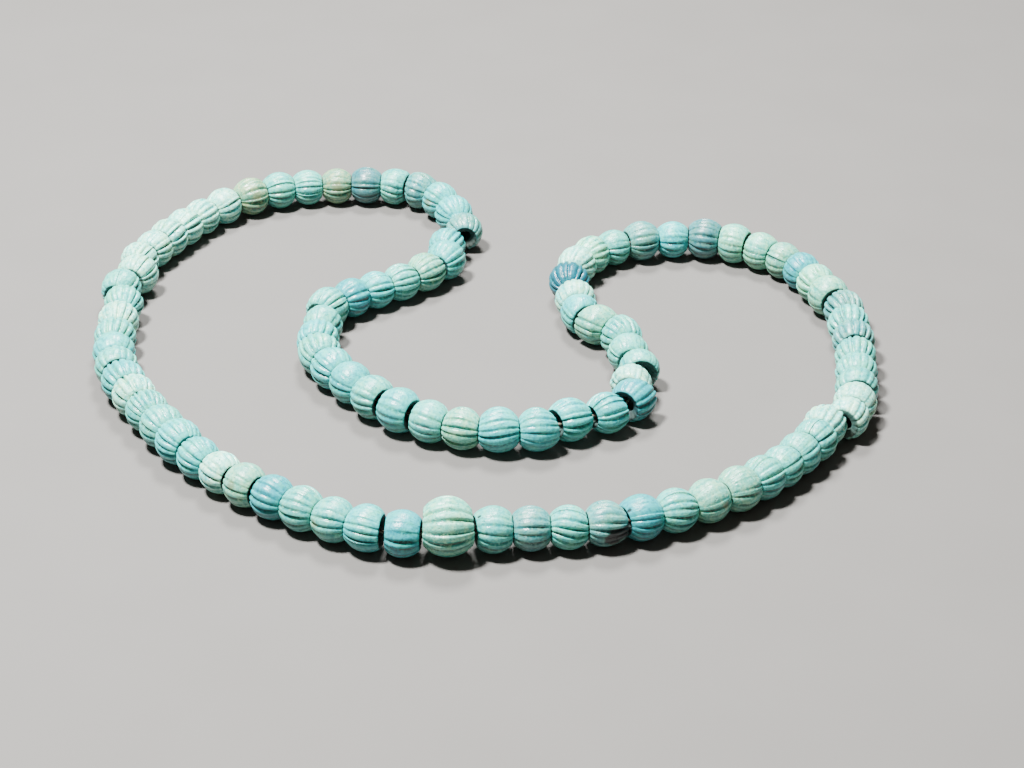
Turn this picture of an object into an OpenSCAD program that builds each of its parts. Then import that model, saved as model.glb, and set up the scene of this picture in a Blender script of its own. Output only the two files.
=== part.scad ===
// A loop of fluted melon beads on a thread, lying on a flat surface in two lobes.
// Millimetres. X runs to the right along the front of the loop, Y to the back, Z up.
// The beads rest on Z = 0, and the origin is below the middle of the loop.

/* [Thread] */
// Diameter of the hole through each bead
hole_d = 4.4; // [4.2:0.1:4.8]
// Thickness of the thread
thread_d = 0.8; // [0.6:0.1:0.9]
// Space left between neighbouring beads
clearance = 0.3; // [0.15:0.05:0.5]

/* [Beads] */
// How far the diameters stray from the table, each way
stray = 0.3; // [0:0.05:0.4]
// Longest half of a bead, as a share of its radius
longest = 0.84; // [0.78:0.01:0.88]
// Most that one half of a bead may be longer than the other
uneven = 1.2; // [0.6:0.1:1.6]

/* [Centre bead] */
// Number of flutes round the centre bead
flutes = 16; // [12:1:16]
// Radius of the round groove between two flutes
groove_r = 0.7; // [0.5:0.05:0.75]
// Depth of that groove at the middle of the bead
groove_depth = 0.55; // [0.3:0.05:0.65]

/* [Hidden] */

// The way of the thread, seen from above, anticlockwise from the left end of the centre bead.
// A row is a joint between two beads, and the beads that follow it up to the next row.
X = 0;
Y = 1;
COUNT = 2; // beads from this row to the next
DIA = 3; // their mean diameter
LEAN = 4; // degrees that they are turned to the left of the way
SHIFT = 5; // distance that they are pushed to the left of the way
KINK = 6; // over 0 where the thread bends sharply: share of a bead by which the next ones stand off
ROUTE = [
    [-4, -94.5, 1, 15.5, -8, 0, 0],
    [8.75, -91.25, 4, 11.4, 0, 0, 0],
    [44.5, -83.5, 4, 11.4, 0, 0, 0],
    [76.25, -63.25, 4, 11.2, 0, 0, 0],
    [94.5, -38.25, 1, 11.4, 0, 1.5, 0],
    [98.5, -31.5, 1, 11.5, 15, -1, 0],
    [102.75, -26, 2, 11.5, 0, 0, 0],
    [104.5, -10.5, 4, 11.7, 0, 0, 0],
    [103, 24.25, 1, 11.8, 0, -0.9, 0],
    [100.75, 32.75, 1, 11.9, 0, 0.3, 0],
    [97, 40.5, 2, 11, 0, 0, 0],
    [89, 54.75, 2, 11.2, 0, 0, 0],
    [75.75, 64.75, 1, 11.4, 0, 0, 0],
    [67.25, 67.75, 1, 12.1, 0, 0, 0],
    [58, 68.25, 1, 11.3, 0, 0, 0],
    [48, 66.5, 1, 11.6, 0, 0, 0],
    [39.25, 63.25, 1, 10.4, 0, 0, 0],
    [31.75, 58, 1, 11.5, 0, 0, 0],
    [26.75, 51.25, 1, 11.8, 0, 0, 0],
    [24, 43.25, 1, 11.6, 0, -1.1, 0],
    [25.5, 30.5, 2, 11.5, 0, 0, 0],
    [29.5, 15.25, 1, 11.5, 0, 0, 0],
    [36.75, 10.5, 1, 11.5, 0, 0.9, 0],
    [41.5, 2, 1, 11.4, 0, 0, 0],
    [43.25, -6.25, 1, 11.5, 0, 1.8, 0],
    [44.75, -14.75, 1, 11.2, 0, -0.9, 0],
    [44.75, -22.5, 1, 11.4, -16, 0.8, 0],
    [42.75, -30.5, 1, 11.3, 0, 0, 0.1],
    [33.25, -36.5, 1, 11.9, 0, -0.9, 0],
    [24.75, -41.75, 1, 11.4, 0, 0.7, 0],
    [15.5, -45, 1, 11.9, 0, 0, 0],
    [5.5, -46, 2, 11.5, 0, 0, 0],
    [-12.25, -41, 1, 11.8, 0, 0, 0],
    [-20.5, -36.25, 2, 11.8, 0, 0, 0.1],
    [-34.5, -22.25, 2, 11.6, 0, 0, 0],
    [-43.5, -8.25, 1, 11.9, 0, 0, 0],
    [-43.5, -0.5, 1, 11.5, -10, -0.3, 0],
    [-44.25, 9.5, 1, 11.5, -6, 1.2, 0.1],
    [-40.5, 18, 3, 11, 0, 0, 0],
    [-22, 35, 1, 11, 0, -0.3, 0],
    [-16, 42.75, 1, 11.6, 0, -1, 0],
    [-13, 50.75, 1, 11.3, -6, 1.9, 0],
    [-11.75, 60.25, 1, 11.2, 6, -2, 0],
    [-12.5, 71.25, 2, 11.4, 0, 0, 0],
    [-23.25, 89.5, 1, 11.7, 0, 0, 0],
    [-30.5, 93.75, 1, 11.1, 0, 0, 0],
    [-39.25, 93.75, 4, 11.1, 0, 0, 0],
    [-74.5, 85, 2, 11.3, 0, 0, 0],
    [-88.75, 70.75, 2, 11, 0, 0, 0],
    [-96.25, 55.25, 2, 11.4, 0, 0, 0],
    [-101.75, 40.75, 1, 11.1, -6, -1.1, 0],
    [-102.5, 32.5, 1, 11.6, -6, 1.4, 0],
    [-103.75, 23.5, 1, 11.4, -10, -0.8, 0],
    [-103.75, 15.5, 1, 11.4, 0, 0.8, 0],
    [-101.5, 5.25, 2, 11.3, 0, 0, 0],
    [-99, -13.25, 2, 11.9, 0, 0, 0],
    [-94, -28.25, 2, 11.6, 0, 0, 0],
    [-85, -41.75, 3, 11.7, 0, 0, 0],
    [-67.75, -63, 4, 11.1, 0, 0, 0],
    [-38.5, -84, 4, 11.6, 0, 0, 0],
];

thread_sides = 8;
flute_arc = 124; // degrees of the bead's outline that a groove cutter follows
pale = "#b4d6cd";
cream = "#c9d8c2";
flax = "#8d7a5a";

// The curve through the rows: a cubic from each row to the next.
// At a kink it leaves along the straight line, elsewhere along the mean of both lines.
rows = len(ROUTE);
function row(i) = ROUTE[(i + rows) % rows];
function spot(i) = [row(i)[X], row(i)[Y]];
function line(i) = spot(i + 1) - spot(i);
function unit(v) = v / norm(v);
function mean_way(i) = unit(unit(line(i - 1)) * norm(line(i)) + unit(line(i)) * norm(line(i - 1)));
function way(i, section) = (row(i)[KINK] > 0 ? unit(line(section)) : mean_way(i)) * norm(line(section));
function curve(i, u) =
    (2 * u ^ 3 - 3 * u ^ 2 + 1) * spot(i)
    + (u ^ 3 - 2 * u ^ 2 + u) * way(i, i)
    + (3 * u ^ 2 - 2 * u ^ 3) * spot(i + 1)
    + (u ^ 3 - u ^ 2) * way(i + 1, i);

// Joints between beads, at equal steps of a section, with the extra share at a kink.
function kink_sum(i) = row(i)[KINK] + row(i + 1)[KINK];
function part_way(i, q) = q == 0 ? 0 : (q + row(i)[KINK]) / (row(i)[COUNT] + kink_sum(i));
section_of = [for (i = [0 : rows - 1], q = [1 : row(i)[COUNT]]) i];
joint = [for (i = [0 : rows - 1], q = [0 : row(i)[COUNT] - 1]) curve(i, part_way(i, q))];
beads = len(joint);
last_right = floor(beads / 2);

// Each bead: diameter, heading and middle, from the two joints that it lies between.
function next(k) = (k + 1) % beads;
function before(k) = (k + beads - 1) % beads;
function of(k, column) = row(section_of[k])[column];
dia = [for (k = [0 : beads - 1]) of(k, DIA) + (k == 0 ? 0 : stray * sin(97 * k))];
step_angle = [for (k = [0 : beads - 1]) let (s = joint[next(k)] - joint[k]) atan2(s.y, s.x)];
heading = [for (k = [0 : beads - 1]) step_angle[k] + of(k, LEAN)];
placed = [for (k = [0 : beads - 1])
    (joint[k] + joint[next(k)]) / 2 + of(k, SHIFT) * [-sin(step_angle[k]), cos(step_angle[k])]];

// The whole loop is moved by a fraction of a millimetre, so that the origin is exactly in the middle of its box.
function low(axis) = min([for (k = [0 : beads - 1]) placed[k][axis] - dia[k] / 2]);
function high(axis) = max([for (k = [0 : beads - 1]) placed[k][axis] + dia[k] / 2]);
centring = [low(0) + high(0), low(1) + high(1)] / 2;
middle = [for (p = placed) p - centring];

// A bead is a sphere cut off at both ends, so that it clears its neighbours.
// Along the line that halves the angle between two beads, they share their distance by diameter.
function turn(k) = let (a = heading[next(k)] - heading[k]) a - 360 * round(a / 360);
function room(k) = let (m = heading[k] + turn(k) / 2)
    (middle[next(k)] - middle[k]) * [cos(m), sin(m)] - clearance;
function reach(k, j) = let (r = dia[k] / 2, share = room(j) * dia[k] / (dia[j] + dia[next(j)]))
    min(longest * r, r * cos(abs(turn(j)) / 2 + acos(min(1, share / r))));
function ahead(k) = min(reach(k, k), reach(k, before(k)) + uneven);
function behind(k) = min(reach(k, before(k)), reach(k, k) + uneven);

module at_bead(k) {
    translate([middle[k].x, middle[k].y, dia[k] / 2])
        rotate([0, 0, heading[k]])
            children();
}

// The outline from the hole outwards is turned once round the axis of the bead.
module drilled_bead(k) {
    at_bead(k)
        rotate([0, 90, 0])
            rotate_extrude($fn = 48)
                intersection() {
                    circle(d = dia[k], $fn = 48);
                    translate([hole_d / 2, -behind(k)])
                        square([dia[k], behind(k) + ahead(k)]);
                }
}

// Round grooves along the bead, from hole to hole.
module grooves(k) {
    r = dia[k] / 2;
    at_bead(k)
        for (i = [0 : flutes - 1])
            rotate([(i + 0.5) * 360 / flutes, 0, 0])
                rotate([0, 0, 90 - flute_arc / 2])
                    rotate_extrude(angle = flute_arc, $fn = 72)
                        translate([r + groove_r - groove_depth, 0])
                            circle(r = groove_r, $fn = 24);
}

// The thread runs straight through each bead. At each end of the bead it lies to the side
// on which the neighbour's hole is, half way to it, as far as the hole allows.
play = (hole_d - thread_d) / 2 - 0.05;
function point(p, k) = [p.x, p.y, dia[k] / 2];
function along(k, x) = point(middle[k] + x * [cos(heading[k]), sin(heading[k])], k);
function between(k) = (along(k, ahead(k)) + along(next(k), -behind(next(k)))) / 2;
function gate(k, x, goal) = let (
    side = [-sin(heading[k]), cos(heading[k]), 0],
    off = (goal - along(k, x)) * side
) along(k, x) + max(-play, min(play, off)) * side;
thread_line = [for (k = [0 : beads - 1], end = [0, 1])
    end == 0 ? gate(k, -behind(k), between(before(k))) : gate(k, ahead(k), between(k))];

function ring(i) = let (
    n = len(thread_line),
    run = unit(thread_line[(i + 1) % n] - thread_line[(i + n - 1) % n]),
    side = unit([-run.y, run.x, 0]),
    rise = cross(run, side)
) [for (q = [0 : thread_sides - 1]) let (a = (q + 0.5) * 360 / thread_sides)
    thread_line[i] + thread_d / 2 * (cos(a) * side + sin(a) * rise)];

module thread() {
    n = len(thread_line);
    m = thread_sides;
    color(flax)
        polyhedron(
            points = [for (i = [0 : n - 1]) each ring(i)],
            faces = [for (i = [0 : n - 1], q = [0 : m - 1], side = [0, 1]) let (
                a = i * m + q,
                b = i * m + (q + 1) % m,
                c = ((i + 1) % n) * m + q,
                d = ((i + 1) % n) * m + (q + 1) % m
            ) side == 0 ? [a, b, d] : [a, d, c]],
            convexity = 10
        );
}

module centre_bead() {
    color(cream)
        difference() {
            drilled_bead(0);
            grooves(0);
        }
}

module string_right() {
    color(pale)
        for (k = [1 : last_right])
            drilled_bead(k);
}

module string_left() {
    color(pale)
        for (k = [last_right + 1 : beads - 1])
            drilled_bead(k);
}

thread();
centre_bead();
string_right();
string_left();
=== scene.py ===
"""A necklace of fluted melon beads of opaque glass, lying on a pale floor.

Metres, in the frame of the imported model: X to the right along the front, Y to the back, Z up from the floor.
Beads are numbered from 0, the centre bead, to the right and once round the loop. That is also the way in which
they are strung: ahead is onwards along it, and aside is to its left.
"""

import math

import bpy
import numpy as np
from mathutils import Matrix, Vector


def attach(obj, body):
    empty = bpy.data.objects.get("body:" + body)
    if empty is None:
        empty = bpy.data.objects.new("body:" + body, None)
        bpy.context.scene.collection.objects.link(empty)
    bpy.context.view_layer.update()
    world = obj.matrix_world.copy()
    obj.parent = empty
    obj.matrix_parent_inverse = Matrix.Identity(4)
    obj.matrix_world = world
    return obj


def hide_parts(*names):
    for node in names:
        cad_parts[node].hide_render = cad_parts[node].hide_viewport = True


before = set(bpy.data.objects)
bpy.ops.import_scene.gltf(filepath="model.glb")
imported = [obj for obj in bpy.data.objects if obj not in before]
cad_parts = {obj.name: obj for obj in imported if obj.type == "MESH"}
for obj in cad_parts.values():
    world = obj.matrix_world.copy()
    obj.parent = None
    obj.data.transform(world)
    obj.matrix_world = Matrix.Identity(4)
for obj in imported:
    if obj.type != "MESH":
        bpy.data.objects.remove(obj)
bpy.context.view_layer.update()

mm = 0.001
QUARTER = math.pi / 2  # quarter of a turn
SIXTEENTH = math.pi / 8  # sixteenth of a turn

# The camera: the photograph's own place and turn, worked out from the edges of the board that it shows
CAMERA_PLACE = (0.0516, -0.5325, 0.3173)
CAMERA_AHEAD = (-0.0665, 0.8521, -0.5191)
CAMERA_RIGHT = (0.9963, 0.0853, 0.0123)
CAMERA_LENS = 78.4  # mm
CAMERA_SENSOR = 36.0  # mm

# The light and the floor
LAMP_COLOUR = (1.0, 0.98, 0.95)
SURROUNDING_COLOUR = (1.0, 0.84, 0.76, 1)
SURROUNDING_STRENGTH = 0.17
FLOOR_HALF = 3.0  # half of the floor's width

# The form of a bead
FLUTES = 16
STEPS_A_FLUTE = 8
GROW = 0.09 * mm  # how far the crests stand past the solid bead's round, to make up for the grooves
GROOVE = 0.66 * mm  # depth of a groove on an ordinary bead, where the chart says 3
CENTRE_GROOVE = 0.72 * mm  # the same on the centre bead
HOLE = 2.2 * mm  # radius of the hole
HOLE_LEAST = 1.7 * mm  # the least that it narrows to in a long bead, whose ends leave less room for it
RIM_ROUND = 1.35 * mm  # radius that rounds the outer edge of an end
LIP_ROUND = 0.3 * mm  # radius that rounds the edge of the hole
FLAT_LEAST = 0.1 * mm  # least width of the flat between the two
CUP = 0.25 * mm  # how far an end sinks towards its hole

# How ends are worn to fit their neighbours
CLOSE = 0.1  # gap left between beads that touch, in mm
SWELL = 1.2 * mm  # farthest that an end stands past the solid bead's to reach its neighbour
OBLIQUE = 0.30  # greatest angle to which an end is worn

# Ends at a joint that stands open
RIM_SQUARE = 0.9 * mm  # radius that rounds their outer edge
CUP_OPEN = 0.9 * mm  # how far they sink towards the hole
DRAWN_IN = 0.45 * mm  # farthest that they stop short of the solid bead's
OPEN_SHARE = 0.5  # share of the angle that would fit the neighbour

# Points along the outline of a bead: the sphere's arc, the rounded edge of an end, and the lip of its hole
ARC_POINTS = 17
EDGE_POINTS = 6
LIP_POINTS = 3
# From the rim of an end to its hole, point by point: how strongly the flutes show, and how much it is end
END_FADE = [1, 1, 0.85, 0.6, 0.35, 0.15, 0.05, 0, 0]
END_MARK = [0.12, 0.3, 0.5, 0.7, 0.85, 0.95, 1, 1, 1]

# The wear of the grooves, and the painted shade on the underside. Lengths and heights are in radii of the bead.
NEAR_AXIS = 0.5  # share of the depth that would be left at the axis
EBB = 0.25  # share by which the depth swells and ebbs along a groove
EBB_WAVE = 2.4  # angle of that wave over one radius
RUN_OUT = 0.35  # length over which a groove runs out towards an end
RUN_OUT_LOSS = 0.55  # share of its depth that it loses there
TOP_FROM = 0.35  # height at which the worn top starts
TOP_OVER = 0.5  # height over which it comes in
UNDER_OVER = 0.45  # depth over which the painted shade on the underside comes in
UNDER_FROM = 0.1  # how far above the middle it starts, as a share of that depth

# The thread
THREAD = 0.4 * mm  # radius
SLACK = 0.05 * mm  # least space between the thread and the wall of a hole
PLAY = HOLE - THREAD - SLACK  # how far to the side it can lie in a hole
THREAD_STEPS = 12  # rings from corner to corner of its way
THREAD_SIDES = 12
THREAD_TURN = 2.6 * mm  # length of one turn of the plies
FURROW = 0.28  # how far the furrow between the plies goes in, as a share of the radius

# Chart of the beads by stretches, one sign a bead, from the centre bead onwards.
# Columns: tint; where the grooves lie, in tenths of a sixteenth of a turn; how they slant, with 4 for straight;
# how deep they are
CHART = [
    # front run to the right
    ("mpspsbpggpppp", "0146465562434", "3648657264334", "4234424233233"),
    # right lobe
    ("wwwpppspsgmbgmmhcspmwd", "5513455325930996580550", "1157344624564445435556", "4323456661332224232435"),
    # inner run from the right
    ("wcgpppwbccccgpc", "836455454484494", "455234443561454", "312522334443322"),
    # inner run to the left
    ("pccpcppbcpgcc", "2255330303572", "2456344555455", "3135424334434"),
    # left lobe
    ("sccsphyppywwwwwwwppwpc", "5502156580210028479695", "1345744444134255325455", "4334233333344535434552"),
    # front run from the left
    ("pcwppccwgbppcb", "50111503528515", "54555566453244", "36564443244322"),
]
CHART_FROM = 7  # where the tenths start: sixteenths of a turn from the left of the way, over the top
SLANT_STEP = 0.057  # angle that the grooves turn along one radius, for one step of the slant column
DEPTH_LEAST, DEPTH_STEP = 0.4, 0.2  # share of GROOVE at depth 0, and for each step of the depth column
WORN_MOST, WORN_STEP = 0.95, 0.13  # share of it that is worn off on top at depth 0, and less for each step
TINTS = {
    "p": (0.046, 0.39, 0.340),  # pale turquoise
    "g": (0.080, 0.38, 0.285),  # pale green
    "s": (0.045, 0.255, 0.243),  # greyed turquoise
    "c": (0.025, 0.37, 0.365),  # clear blue-green
    "b": (0.010, 0.265, 0.295),  # blue
    "d": (0.003, 0.105, 0.145),  # deep blue
    "h": (0.028, 0.16, 0.175),  # dark grey-blue
    "w": (0.14, 0.56, 0.46),  # bleached
    "m": (0.090, 0.47, 0.350),  # bleached green
    "y": (0.105, 0.30, 0.18),  # tan-green
}

# Beads with other than sixteen flutes
FLUTES_OF = {5: 18, 70: 20, 88: 20, 90: 19, 97: 20}

# Joints that stand open, so that it is dark between the ends: the bead before the joint, and then the width in mm
# and the slope of both ends, which is over 0 where the left side of the joint lies farther back along the way
OPEN_AFTER = {
    0: (0.45, 0.1),
    4: (0.1, 0.18),
    15: (0.4, 0),
    18: (0.55, 0),
    21: (0.45, 0),
    26: (0.3, 0),
    34: (0.8, 0),
    40: (1.6, 0),
    42: (0.8, 0.1),
    43: (1.0, 0.16),
    44: (0.8, 0.2),
    48: (0.6, 0),
    49: (0.7, 0),
    62: (1.0, 0),
    85: (0.5, 0),
    92: (0.7, 0),
    93: (0.55, 0),
    97: (0.4, 0.1),
    98: (0.1, 0),
}

# Dents. Columns: bead, place along it in radii, angle round it in sixteenths of a turn, width and depth in mm
CHIPS = [
    (1, -0.62, 4.4, 0.8, 0.25),
    (2, 0.46, 6.4, 0.6, 0.15),
    (4, 0.26, 8.6, 5.8, 0.50),
    (4, 0.72, 7.8, 3.2, 0.30),
    (5, -0.70, 4.9, 0.9, 0.30),
]
# Tan stains. The same columns without the depth
STAINS = [
    (7, 0.30, 7.4, 2.2),
    (62, -0.55, 8.0, 3.0),
    (65, -0.20, 0.5, 3.2),
    (69, 0.00, 1.0, 4.0),
    (72, 0.10, 1.2, 3.5),
    (93, 0.00, 6.8, 2.5),
    (96, -0.50, 7.6, 2.6),
]

# Pieces. Columns: name, first bead, last bead, material slot
PIECES = [
    ("centre_melon_bead", 0, 0, "centre_glass"),
    ("beads_front_right", 1, 17, "pale_glass"),
    ("beads_lobe_right", 18, 34, "pale_glass"),
    ("beads_inner_right", 35, 49, "pale_glass"),
    ("beads_inner_left", 50, 63, "pale_glass"),
    ("beads_lobe_left", 64, 81, "pale_glass"),
    ("beads_front_left", 82, 98, "pale_glass"),
]


def loose_parts(node):
    """Corner points and triangles of each loose solid of a CAD node.

    Corners at one place are one point. Every triangle hands the lowest label of its points on to all three,
    until no label changes.
    """
    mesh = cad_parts[node].data
    mesh.calc_loop_triangles()
    corners = np.empty(len(mesh.vertices) * 3)
    mesh.vertices.foreach_get("co", corners)
    corners = corners.reshape(-1, 3)
    triangles = np.empty(len(mesh.loop_triangles) * 3, np.int64)
    mesh.loop_triangles.foreach_get("vertices", triangles)
    keys = np.round(corners / (0.001 * mm)).astype(np.int64)
    _, first, same = np.unique(keys, axis=0, return_index=True, return_inverse=True)
    points = corners[first]
    triangles = same.reshape(-1)[triangles].reshape(-1, 3)
    label = np.arange(len(points))
    while True:
        lower = label.copy()
        np.minimum.at(lower, triangles, label[triangles].min(axis=1)[:, None])
        lower = lower[lower]
        if (lower == label).all():
            break
        label = lower
    return [(points[label == k], points[triangles[label[triangles[:, 0]] == k]]) for k in np.unique(label)]


def measured_bead(points, triangles):
    """Place and size of a drilled bead: middle and radius of its sphere, heading, and its two half lengths.

    The sphere is fitted by least squares to the points that lie near it, with a shrinking tolerance. The heading
    is the mean of the doubled angles of the upright flat faces, weighted by area, so that opposite ends agree.
    """
    radius = np.ptp(points[:, 2]) / 2
    middle = (points.min(axis=0) + points.max(axis=0)) / 2
    for tolerance in (1.2, 0.8, 0.4, 0.2, 0.1, 0.05):
        near = abs(np.linalg.norm(points - middle, axis=1) - radius) < tolerance * mm
        shell = points[near]
        system = np.column_stack([2 * shell, np.ones(len(shell))])
        found = np.linalg.lstsq(system, (shell**2).sum(axis=1), rcond=None)[0]
        middle = found[:3]
        radius = math.sqrt(found[3] + middle @ middle)
    normal = np.cross(triangles[:, 1] - triangles[:, 0], triangles[:, 2] - triangles[:, 0])
    area = np.linalg.norm(normal, axis=1)
    upright = abs(normal[:, 2]) < 0.001 * area
    angle = np.arctan2(normal[upright, 1], normal[upright, 0])
    doubled = (area[upright] * np.exp(2j * angle)).sum()
    heading = np.angle(doubled) / 2
    along = (points - middle) @ [math.cos(heading), math.sin(heading), 0]
    return {"middle": middle, "radius": radius, "heading": heading, "ahead": along.max(), "behind": -along.min()}


def turned_round(bead):
    """The same bead, read from its other end."""
    return dict(bead, heading=bead["heading"] + math.pi, ahead=bead["behind"], behind=bead["ahead"])


def beads_in_order():
    """All beads, from the centre bead to the right and once round, each the nearest to the one before.

    The bead after the centre bead has to be on its right, so there those on the right get a head start.
    """
    head_start = 20 * mm
    rightwards = np.array([1.0, 0.0])
    waiting = {
        node: [measured_bead(*part) for part in loose_parts(node)]
        for node in ("centre_bead", "string_right", "string_left")
    }
    row = waiting.pop("centre_bead")
    row[0]["node"] = "centre_bead"
    if math.cos(row[0]["heading"]) < 0:
        row[0] = turned_round(row[0])
    for node, others in waiting.items():
        while others:
            last = row[-1]["middle"][:2]
            start = head_start if len(row) == 1 else 0
            steps = [other["middle"][:2] - last for other in others]
            distance = [np.linalg.norm(step) - start * np.sign(step @ rightwards) for step in steps]
            nearest = int(np.argmin(distance))
            bead = others.pop(nearest)
            if steps[nearest] @ [math.cos(bead["heading"]), math.sin(bead["heading"])] < 0:
                bead = turned_round(bead)
            bead["node"] = node
            row.append(bead)
    return row


def way_of(bead):
    """The direction of a bead's axis, onwards along the thread."""
    return np.array([math.cos(bead["heading"]), math.sin(bead["heading"]), 0])


def fit_ends(beads):
    """Gives every bead the form of its two ends, back and front, so that neighbours meet as worn beads do.

    Each end slopes by half of the bend at its joint, up to a limit. It stands out by half of the room left at
    the joint: the gap between the middles of the two ends, less the width that stays open, and less what the
    rest of the bend takes at the rims. A slope is over 0 where the end draws back on the left.
    At a joint that stands open, the ends slope by a share of that angle and slant together, their rims are
    squarer and their cups deeper, and they may stop short of the solid beads' ends.
    """
    for bead in beads:
        bead.update(swell=[0, 0], slope=[0, 0], rounding=[RIM_ROUND, RIM_ROUND], cup=[CUP, CUP])
    for k, (bead, other) in enumerate(zip(beads, beads[1:] + beads[:1])):
        bend = math.remainder(other["heading"] - bead["heading"], 2 * math.pi)
        middle = bead["heading"] + bend / 2
        gap = other["middle"] - way_of(other) * other["behind"] - bead["middle"] - way_of(bead) * bead["ahead"]
        gap = gap @ [math.cos(middle), math.sin(middle), 0]
        is_open = k in OPEN_AFTER
        width, slant = OPEN_AFTER.get(k, (CLOSE, 0))
        angle = min(abs(bend) / 2, OBLIQUE) * (OPEN_SHARE if is_open else 1)
        rim = math.sqrt(bead["radius"] ** 2 - bead["ahead"] ** 2)
        room = gap - width * mm - 2 * rim * math.sin(abs(bend) / 2 - angle)
        bead["swell"][1] = other["swell"][0] = min(max(room / 2, -DRAWN_IN if is_open else 0), SWELL)
        slope = math.copysign(math.tan(angle), bend)
        bead["slope"][1], other["slope"][0] = slope + slant, slope - slant
        if is_open:
            bead["rounding"][1] = other["rounding"][0] = RIM_SQUARE
            bead["cup"][1] = other["cup"][0] = CUP_OPEN


def arc(centre, radius, start, end, count):
    """Points on an arc in the (along, out) plane. An angle of 0 points outwards, and a quarter turn ahead."""
    angle = np.linspace(start, end, count)
    return np.column_stack([centre[0] + radius * np.sin(angle), centre[1] + radius * np.cos(angle)])


def bead_outline(bead):
    """Half section of a bead, as a closed line of (along, out) points that starts at the back rim.

    The sphere's arc meets each end in a rounded edge, whose centre lies one rounding in from the end and from
    the sphere. The end sinks a little towards the hole, and a small rounded lip leads into the straight hole.
    Where a long bead's end has no room for all of this, the hole narrows, and then the edge moves outwards.
    Each point also gets two shares: how strongly the flutes show there, and how much it belongs to an end.
    """
    radius = bead["radius"] + GROW
    reaches = np.array([bead["behind"] + bead["swell"][0], bead["ahead"] + bead["swell"][1]])
    insets = reaches - bead["rounding"]
    outs = np.sqrt(np.maximum((radius - np.array(bead["rounding"])) ** 2 - insets**2, 0))
    hole = np.clip(outs.min() - LIP_ROUND - FLAT_LEAST, HOLE_LEAST, HOLE)
    outs = np.maximum(outs, hole + LIP_ROUND + FLAT_LEAST)
    ends = []
    for reach, inset, out, rounding, cup in zip(reaches, insets, outs, bead["rounding"], bead["cup"]):
        rim = math.atan2(inset, out)
        lip = (reach - cup - LIP_ROUND, hole + LIP_ROUND)
        edge = arc((inset, out), rounding, rim, QUARTER, EDGE_POINTS)[1:]
        face = [[reach - cup * 0.5, (out + lip[1]) / 2]]
        inner = arc(lip, LIP_ROUND, QUARTER * 0.9, 2 * QUARTER, LIP_POINTS)
        ends.append((np.vstack([edge, face, inner]), rim))
    (back, back_rim), (front, front_rim) = ends
    back = back * [-1, 1]
    outer = arc((0, 0), radius, -back_rim, front_rim, ARC_POINTS)
    inside = [[(front[-1][0] + back[-1][0]) / 2, hole]]
    fade = np.concatenate([np.ones(ARC_POINTS), END_FADE, [0], END_FADE[::-1]])
    end = np.concatenate([np.zeros(ARC_POINTS), END_MARK, [1], END_MARK[::-1]])
    return np.vstack([outer, front, inside, back[::-1]]), fade, end


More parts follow.
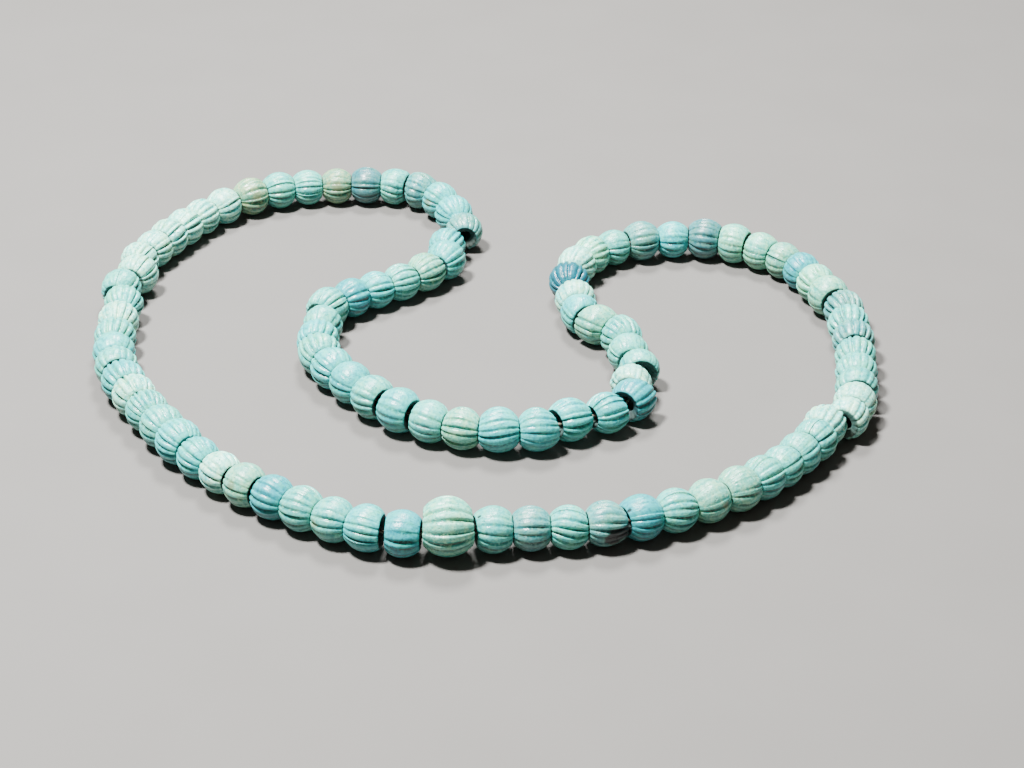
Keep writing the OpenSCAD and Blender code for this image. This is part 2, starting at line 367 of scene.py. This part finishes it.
def bead_grid(bead, look):
    """Points of a bead on a grid that closes both ways: the outline, carried once round the axis.

    Round the axis, each groove is pressed in by half of one minus the cosine of the way from crest to crest,
    raised to the bead's own power, which leaves the crests broader than the grooves. That share times the
    groove's own depth goes in along the outline's normal. The depth swells and ebbs as a sine along the groove,
    runs out smoothly towards the ends, is less where the outline is nearer to the axis, and is worn off on top.
    Each groove strays a little to one side, and each crest is worn down a little. A chip is a round hollow,
    deepest in its middle. Last, each end slopes to the left or right, more towards the end by the square of the
    way.
    Marks on the points say how much they belong to a groove, an end, the underside, a chip and a stain; the colour
    uses the groove, end and underside marks partly for painted shade.
    """
    outline, fade, end = bead_outline(bead)
    flutes = look["flutes"]
    normal = np.roll(outline, -1, axis=0) - np.roll(outline, 1, axis=0)
    normal = np.column_stack([-normal[:, 1], normal[:, 0]]) / np.linalg.norm(normal, axis=1)[:, None]
    count = flutes * STEPS_A_FLUTE
    step = np.arange(count)
    flute = step // STEPS_A_FLUTE
    crest = ((step + STEPS_A_FLUTE // 2) // STEPS_A_FLUTE) % flutes
    between = (1 - np.cos(2 * math.pi * step / STEPS_A_FLUTE)) / 2
    arch = between ** look["crest"]
    turn = 2 * math.pi * step / count
    run = outline[:, 0] / bead["radius"]
    share = fade * (NEAR_AXIS + (1 - NEAR_AXIS) * outline[:, 1] / bead["radius"])

    ebb = 1 + EBB * np.sin(EBB_WAVE * run[None, :] + look["ebb"][flute][:, None])
    faded = np.clip((abs(run)[None, :] - look["reach"][flute][:, None]) / RUN_OUT, 0, 1)
    ebb = ebb * (1 - RUN_OUT_LOSS * faded**2 * (3 - 2 * faded))
    upper = np.clip((np.sin(turn + look["roll"]) - TOP_FROM) / TOP_OVER, 0, 1)
    ebb = ebb * (1 - look["worn_top"] * upper[:, None])
    press = look["depth"] * (look["deeper"][flute] * arch)[:, None] * ebb * share[None, :]
    press = press + (look["worn"][crest] * (1 - between))[:, None] * share[None, :]
    along = outline[None, :, 0] - normal[None, :, 0] * press
    out = outline[None, :, 1] - normal[None, :, 1] * press
    angle = (turn + look["aside"][flute] * between + look["roll"])[:, None] + look["twist"] * run[None, :]

    hollow = np.zeros_like(press)
    stain = np.zeros_like(press)
    for where, sixteenth, width, deep, kind in look["marks"]:
        round_it = np.mod(angle - sixteenth * SIXTEENTH + math.pi, 2 * math.pi) - math.pi
        near = (run[None, :] - where) ** 2 + (round_it * outline[None, :, 1] / bead["radius"]) ** 2
        spot = np.exp(-((near * (bead["radius"] / (0.5 * width)) ** 2) ** 1.5)) * (fade > 0)
        out = out - deep * spot
        if kind == "chip":
            hollow = np.maximum(hollow, spot)
        else:
            stain = np.maximum(stain, spot)

    aside = out * np.cos(angle)
    back_share = np.clip(-along / bead["behind"], 0, 1) ** 2
    front_share = np.clip(along / bead["ahead"], 0, 1) ** 2
    along = along + aside * (bead["slope"][0] * back_share - bead["slope"][1] * front_share)
    local = np.stack([along, aside, out * np.sin(angle)], axis=-1)
    # The groove mark: partly the glass's deeper colour and dirt, partly painted shade in the grooves; it fades on
    # the worn top
    groove = (arch * (1 - look["worn_top"] * upper))[:, None] * ebb * fade[None, :]
    end = np.broadcast_to(end[None, :], groove.shape)
    # The underside mark, for painted shade: 0 a little above the bead's middle, rising to 1 lower down
    below = np.clip(UNDER_FROM - local[..., 2] / (UNDER_OVER * bead["radius"]), 0, 1)
    return local, {"groove": groove, "end": end, "below": below, "chip": hollow, "stain": stain}


def placed(bead, local):
    """Points of a bead moved to its place and turned to its heading."""
    ahead = way_of(bead)
    aside = np.array([-ahead[1], ahead[0], 0])
    up = np.array([0, 0, 1])
    middle = bead["middle"] + GROW * up
    return middle + local[..., :1] * ahead + local[..., 1:2] * aside + local[..., 2:] * up


def closed_grid_faces(rows, columns):
    """Quads of a grid that closes both ways.

    Their outside is where the cross product of the two ways points: from row to row, and then along a row.
    """
    i, j = np.meshgrid(np.arange(rows), np.arange(columns), indexing="ij")
    i2, j2 = (i + 1) % rows, (j + 1) % columns
    corners = [i * columns + j, i2 * columns + j, i2 * columns + j2, i * columns + j2]
    return np.stack(corners, axis=-1).reshape(-1, 4)


def made_mesh(name, points, quads, marks):
    """A smooth mesh piece from points and quads, with its marks as attributes of the points."""
    mesh = bpy.data.meshes.new(name)
    mesh.vertices.add(len(points))
    mesh.vertices.foreach_set("co", points.astype(np.float32).ravel())
    mesh.loops.add(quads.size)
    mesh.loops.foreach_set("vertex_index", quads.astype(np.int32).ravel())
    mesh.polygons.add(len(quads))
    mesh.polygons.foreach_set("loop_start", np.arange(0, quads.size, 4, dtype=np.int32))
    mesh.update(calc_edges=True)
    for mark, values in marks.items():
        kind, field = ("FLOAT", "value") if values.ndim == 1 else ("FLOAT_VECTOR", "vector")
        mesh.attributes.new(mark, kind, "POINT").data.foreach_set(field, values.astype(np.float32).ravel())
    mesh.polygons.foreach_set("use_smooth", np.ones(len(quads), dtype=bool))
    mesh.validate()
    piece = bpy.data.objects.new(name, mesh)
    bpy.context.scene.collection.objects.link(piece)
    return piece


class Value:
    """A shader socket that can be used in sums: each operator adds the Math node that works it out."""

    def __init__(self, tree, socket):
        self.tree = tree
        self.socket = socket

    def node(self, kind, settings=None, inputs=None, output=0):
        """Adds a node of a kind, with its settings first and then the values or links of its sockets."""
        made = self.tree.nodes.new(kind)
        for key, value in (settings or {}).items():
            setattr(made, key, value)
        for key, value in (inputs or {}).items():
            if isinstance(value, Value):
                self.tree.links.new(value.socket, made.inputs[key])
            else:
                made.inputs[key].default_value = value
        return Value(self.tree, made.outputs[output])

    def into(self, socket):
        """Links this value to a socket."""
        self.tree.links.new(self.socket, socket)

    def worked_out(self, operation, a, b):
        return self.node("ShaderNodeMath", {"operation": operation}, {0: a, 1: b})

    def __add__(self, other):
        return self.worked_out("ADD", self, other)

    def __sub__(self, other):
        return self.worked_out("SUBTRACT", self, other)

    def __mul__(self, other):
        return self.worked_out("MULTIPLY", self, other)

    def __rsub__(self, other):
        return self.worked_out("SUBTRACT", other, self)

    __radd__ = __add__

    def between(self, low, high):
        """0 below low, 1 above high, and smooth between them."""
        return self.node(
            "ShaderNodeMapRange",
            {"interpolation_type": "SMOOTHSTEP"},
            {"Value": self, "From Min": low, "From Max": high},
        )

    def noise(self, scale, detail=2.0, roughness=0.5):
        """Noise at this place, with scale patches to the metre."""
        return self.node(
            "ShaderNodeTexNoise", {}, {"Vector": self, "Scale": scale, "Detail": detail, "Roughness": roughness}
        )

    def blend(self, other, share, mode="MIX"):
        """This colour, turned into another by a share. Sockets 6 and 7 of the node are its two colours."""
        return self.node(
            "ShaderNodeMix", {"data_type": "RGBA", "blend_type": mode}, {0: share, 6: self, 7: other}, output=2
        )

    def times(self, red, green, blue):
        """This colour with its three parts multiplied."""
        return self.blend((red, green, blue, 1), 1.0, "MULTIPLY")


def new_material(name):
    """A node material, its surface shader, and three things to start sums from.

    These are a mark of the points, as colour, vector or number; the place on the object; and a plain colour.
    """
    material = bpy.data.materials.new(name)
    material.use_nodes = True
    shader = material.node_tree.nodes["Principled BSDF"]
    start = Value(material.node_tree, None)

    def mark(attribute, kind="number"):
        output = ("colour", "vector", "number").index(kind)
        return start.node("ShaderNodeAttribute", {"attribute_name": attribute}, output=output)

    def plain(red, green, blue):
        colour = start.node("ShaderNodeRGB")
        colour.socket.default_value = (red, green, blue, 1)
        return colour

    place = start.node("ShaderNodeTexCoord", output=3)
    return material, shader, mark, place, plain


def glass_material(name):
    """Opaque weathered glass: each bead's own tint, deeper in the grooves, chalky on worn crests and rims, with
    painted shade in the grooves, on the ends and underneath, and a painted highlight on the crests.
    """
    material, shader, mark, place, _ = new_material(name)
    tint = mark("tint", "colour")
    local = mark("local", "vector")
    groove = mark("groove")
    end = mark("end")
    below = mark("below")
    chip = mark("chip")
    stain = mark("stain")

    # Patterns, from wide to fine. Those on the local place run along each bead.
    drift = place.noise(110.0, 2.0, 0.5)
    cloud = place.noise(260.0, 3.0, 0.6)
    patch = local.noise(380.0, 2.0, 0.5)
    fleck = place.noise(650.0, 3.0, 0.65)
    streak = local.noise(900.0, 3.0, 0.6)
    speck = place.noise(1300.0, 3.0, 0.65)
    pit = place.node("ShaderNodeTexVoronoi", {}, {"Vector": place, "Scale": 900.0})
    pits = (1.0 - pit.between(0.10, 0.22)) * cloud.between(0.5, 0.62)

    # Colours: multiples of the bead's own tint, and four plain ones
    deep = tint.times(0.20, 0.27, 0.28)
    bluer = tint.times(0.30, 0.88, 1.04)
    greener = tint.times(1.4, 1.0, 0.66)
    chalk_and_highlight = tint.times(2.2, 1.5, 1.5)
    cream = tint.times(3.2, 1.45, 1.05)
    bloom = tint.times(4.5, 1.7, 1.75)
    # Painted shade for the end faces
    painted_end_shade = tint.times(0.1, 0.06, 0.065)
    tan = (0.20, 0.22, 0.10, 1)
    # A dark dirt colour, also used for painted shade in the grooves and round the holes
    dirt_and_shade = (0.05, 0.05, 0.04, 1)
    painted_underside_shade = (0.09, 0.085, 0.07, 1)
    broken = (0.022, 0.019, 0.021, 1)

    # The colour of the glass drifts and is patchy
    colour = tint.blend(bluer, drift.between(0.5, 0.62) * 0.9)
    colour = colour.blend(greener, (1.0 - drift.between(0.34, 0.5)) * 0.85)
    colour = colour.blend(cream, patch.between(0.53, 0.66) * 0.6)
    colour = colour.blend(bluer, (1.0 - patch.between(0.33, 0.46)) * 0.75)
    # Deeper in the grooves, partly the glass's own colour and partly painted shade; chalky where it is worn, partly
    # a painted highlight on the crests
    pooled_and_shaded = (groove * 1.2 + cloud * 0.9 - 0.6).between(0.15, 0.95)
    colour = colour.blend(deep, pooled_and_shaded * 0.85)
    # Worn places: chalky wear on crests and rims, lightened partly as a painted highlight on the crests
    worn = (streak * 0.9 + cloud * 0.9 - groove * 0.9 + end * 0.3).between(0.5, 1.0)
    colour = colour.blend(chalk_and_highlight, worn * 0.8)
    # Flecks and specks
    colour = colour.blend(bluer, fleck.between(0.5, 0.6) * 0.4)
    colour = colour.blend(cream, (1.0 - fleck.between(0.38, 0.49)) * 0.55)
    colour = colour.blend(deep, speck.between(0.5, 0.68) * 0.4)
    colour = colour.blend(bloom, (1.0 - speck.between(0.36, 0.48)) * 0.4)
    # Stains; dirt and painted shade in the grooves and round the holes; painted shade on the end faces and on the
    # underside; dirt in pits; and chips
    stained = (stain + (cloud - 0.5) * 0.5).between(0.15, 0.9)
    colour = colour.blend(tan, stained * 0.6)
    # Dark in the narrowest grooves and round the holes: partly dirt, partly painted shade
    soiled_and_shaded = (groove * 0.85 + end * 0.3 + speck * 0.5).between(0.8, 1.35)
    colour = colour.blend(dirt_and_shade, soiled_and_shaded * 0.65)
    # Painted shade on the end faces, darkening the joints between beads
    colour = colour.blend(painted_end_shade, (end + speck * 0.3 - 0.15).between(0.4, 0.8) * 0.9)
    # Painted shade on the underside: a darker warm grey, patchy with the cloud
    colour = colour.blend(painted_underside_shade, (below + cloud * 0.6 - 0.3).between(0.0, 1.0) * 0.4)
    colour = colour.blend(dirt_and_shade, pits * 0.5)
    chipped = (chip + (speck - 0.5) * 0.3).between(0.25, 0.5)
    colour = colour.blend(broken, chipped * (0.7 + streak * 0.45))

    colour.into(shader.inputs["Base Color"])
    rough = 0.16 + worn * 0.14 + soiled_and_shaded * 0.35 + speck * 0.12 + end * 0.5
    rough.into(shader.inputs["Roughness"])
    height = speck * 0.3 + fleck * 0.6 + streak * 0.5 + cloud * 0.8 - pits * 0.8
    bump = place.node("ShaderNodeBump", {}, {"Height": height, "Strength": 0.6, "Distance": 0.28 * mm})
    bump.into(shader.inputs["Normal"])
    shader.inputs["IOR"].default_value = 1.5
    return material


def thread_material():
    """Dull flax, darker between its twisted plies: painted shade in the furrows."""
    material, shader, mark, place, plain = new_material("thread_flax")
    fibre = place.noise(2600.0, 3.0, 0.6)
    lit = (mark("ply") * 0.7 + fibre * 0.5).between(0.2, 1.0)
    colour = plain(0.07, 0.06, 0.045).blend((0.34, 0.31, 0.24, 1), lit)
    colour.into(shader.inputs["Base Color"])
    shader.inputs["Roughness"].default_value = 0.9
    return material


def floor_material():
    """Plain pale matt board."""
    material, shader, _, place, plain = new_material("pale_floor")
    colour = plain(0.12, 0.118, 0.114).blend((0.133, 0.131, 0.127, 1), place.noise(30.0))
    colour.into(shader.inputs["Base Color"])
    shader.inputs["Roughness"].default_value = 0.8
    return material


def bead_looks(count):
    """How each bead differs: what the chart says, and small random differences that are the same on every run."""
    tints, rolls, slants, depths = ("".join(column) for column in zip(*CHART))
    chance = np.random.default_rng(16)
    looks = []
    for k in range(count):
        flutes = FLUTES_OF.get(k, FLUTES)
        groove_at = (CHART_FROM + int(rolls[k]) / 10) * SIXTEENTH
        marks = [(*row[1:3], row[3] * mm, row[4] * mm, "chip") for row in CHIPS if row[0] == k]
        marks += [(*row[1:3], row[3] * mm, 0, "stain") for row in STAINS if row[0] == k]
        looks.append({
            "flutes": flutes,
            "roll": groove_at - math.pi / flutes,  # angle of the first crest, half a flute before the groove
            "twist": (int(slants[k]) - 4) * SLANT_STEP,
            "depth": (CENTRE_GROOVE if k == 0 else GROOVE) * (DEPTH_LEAST + DEPTH_STEP * int(depths[k])),
            "worn_top": WORN_MOST - WORN_STEP * int(depths[k]),
            "crest": chance.uniform(1.7, 3.4),  # power that makes the crests broad
            "deeper": chance.uniform(0.5, 1.4, flutes),  # share of the depth, groove by groove
            "reach": chance.uniform(0.3, 0.75, flutes),  # where each groove starts to run out, in radii
            "ebb": chance.uniform(0, 2 * math.pi, flutes),  # where its swelling starts
            "aside": chance.normal(0, 0.055, flutes),  # angle by which it strays
            "worn": chance.uniform(0, 0.12, flutes) * mm,  # how far each crest is worn down
            "marks": marks,
            "tint": np.array(TINTS[tints[k]]) * chance.uniform(0.93, 1.07),
        })
    return looks


def string_piece(name, beads, looks, first, last, material):
    """One piece of the necklace: the beads from first to last, in one mesh.

    The mark "local" is the place on the bead, for patterns. It is squeezed along the bead, so that they are
    drawn out that way, and each bead has its own part of them.
    """
    squeezed = [0.3, 1, 1]
    apart = 0.02
    points, quads, marks = [], [], []
    base = 0
    for k in range(first, last + 1):
        local, mark = bead_grid(beads[k], looks[k])
        rows, columns = mark["groove"].shape
        points.append(placed(beads[k], local).reshape(-1, 3))
        quads.append(closed_grid_faces(rows, columns) + base)
        mark = {kind: values.ravel() for kind, values in mark.items()}
        mark["tint"] = np.broadcast_to(looks[k]["tint"], (rows * columns, 3))
        mark["local"] = local.reshape(-1, 3) * squeezed + [apart * k, 0, 0]
        marks.append(mark)
        base += rows * columns
    joined = {kind: np.concatenate([mark[kind] for mark in marks]) for kind in marks[0]}
    piece = made_mesh(name, np.concatenate(points), np.concatenate(quads), joined)
    piece.data.materials.append(material)
    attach(piece, "root")
    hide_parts(beads[first]["node"])


def thread_line(beads):
    """Corners of the thread's way, one at each end of each solid bead.

    Each is moved to the side, half way to the neighbour's hole, as far as the bead's own hole allows.
    """
    backs = [bead["middle"] - bead["behind"] * way_of(bead) for bead in beads]
    fronts = [bead["middle"] + bead["ahead"] * way_of(bead) for bead in beads]
    line = []
    for k, bead in enumerate(beads):
        ahead = way_of(bead)
        aside = np.array([-ahead[1], ahead[0], 0])
        for end, neighbour in ((backs[k], fronts[k - 1]), (fronts[k], backs[(k + 1) % len(beads)])):
            line.append(end + np.clip((neighbour - end) @ aside / 2, -PLAY, PLAY) * aside)
    return np.array(line)


def thread_piece(beads):
    """A thread of two plies: round its path, the radius swells twice a turn, and the swellings wind along it.

    From corner to corner the path is a cubic. At a corner it runs along the line between the corners beside it.
    """
    line = thread_line(beads)
    way = np.roll(line, -1, axis=0) - np.roll(line, 1, axis=0)
    way /= np.linalg.norm(way, axis=1)[:, None]
    along = np.arange(len(line) * THREAD_STEPS) / THREAD_STEPS
    whole = along.astype(int)
    next_one = (whole + 1) % len(line)
    part = (along - whole)[:, None]
    step = line[next_one] - line[whole]
    stride = np.linalg.norm(step, axis=1)[:, None]
    bow = (1 - part) * way[whole] - part * way[next_one]
    path = line[whole] + (3 - 2 * part) * part**2 * step + stride * part * (1 - part) * bow

    run = np.roll(path, -1, axis=0) - np.roll(path, 1, axis=0)
    run /= np.linalg.norm(run, axis=1)[:, None]
    aside = np.column_stack([-run[:, 1], run[:, 0], np.zeros(len(run))])
    aside /= np.linalg.norm(aside, axis=1)[:, None]
    up = np.cross(run, aside)
    length = np.cumsum(np.linalg.norm(np.roll(path, -1, axis=0) - path, axis=1))
    turns = round(length[-1] / THREAD_TURN)
    angle = 2 * math.pi * np.arange(THREAD_SIDES) / THREAD_SIDES
    wind = 2 * math.pi * turns * length / length[-1]
    ply = abs(np.cos(angle[None, :] - wind[:, None]))
    radius = THREAD * (1 - FURROW + FURROW * ply)
    spoke = np.cos(angle)[None, :, None] * aside[:, None, :] + np.sin(angle)[None, :, None] * up[:, None, :]
    rings = path[:, None, :] + radius[..., None] * spoke

    # Here a row is a ring, so the outside is on the other side of the grid
    quads = closed_grid_faces(len(path), THREAD_SIDES)[:, ::-1]
    piece = made_mesh("thread_twisted", rings.reshape(-1, 3), quads, {"ply": ply.ravel()})
    piece.data.materials.append(thread_material())
    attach(piece, "root")
    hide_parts("thread")


def make_floor():
    """A wide pale floor at the height that the beads lie on."""
    half = FLOOR_HALF
    mesh = bpy.data.meshes.new("floor")
    mesh.from_pydata([(-half, -half, 0), (half, -half, 0), (half, half, 0), (-half, half, 0)], [], [(0, 1, 2, 3)])
    floor = bpy.data.objects.new("floor", mesh)
    bpy.context.scene.collection.objects.link(floor)
    floor.data.materials.append(floor_material())


def make_camera():
    """The camera, where the photograph was taken from."""
    data = bpy.data.cameras.new("camera")
    data.lens = CAMERA_LENS
    data.sensor_width = CAMERA_SENSOR
    data.clip_start = 0.01
    data.clip_end = 50
    camera = bpy.data.objects.new("camera", data)
    bpy.context.scene.collection.objects.link(camera)
    ahead = Vector(CAMERA_AHEAD).normalized()
    right = Vector(CAMERA_RIGHT)
    right = (right - right.dot(ahead) * ahead).normalized()
    up = right.cross(ahead)
    turn = Matrix((right, up, -ahead)).transposed().to_4x4()
    camera.matrix_world = Matrix.Translation(CAMERA_PLACE) @ turn
    bpy.context.scene.camera = camera


def make_light(name, place, size, power):
    """A square soft lamp that faces the middle of the necklace."""
    data = bpy.data.lights.new(name, "AREA")
    data.shape = "SQUARE"
    data.size = size
    data.energy = power
    data.color = LAMP_COLOUR
    light = bpy.data.objects.new(name, data)
    bpy.context.scene.collection.objects.link(light)
    light.location = place
    light.rotation_euler = (-Vector(place)).to_track_quat("-Z", "Y").to_euler()


def make_lights():
    """A key light from above, left and a little in front, a wider one from the back, and weak warm surroundings."""
    make_light("key", (-0.30, -0.08, 0.88), 0.14, 46.0)
    make_light("back", (-0.05, 0.50, 0.80), 0.22, 22.0)
    world = bpy.data.worlds.new("surrounding")
    bpy.context.scene.world = world
    world.use_nodes = True
    background = world.node_tree.nodes["Background"]
    background.inputs["Color"].default_value = SURROUNDING_COLOUR
    background.inputs["Strength"].default_value = SURROUNDING_STRENGTH


beads = beads_in_order()
fit_ends(beads)
looks = bead_looks(len(beads))
glass = glass_material("melon_glass")
for name, first, last, slot in PIECES:
    string_piece(name, beads, looks, first, last, glass)
thread_piece(beads)

make_floor()
make_camera()
make_lights()
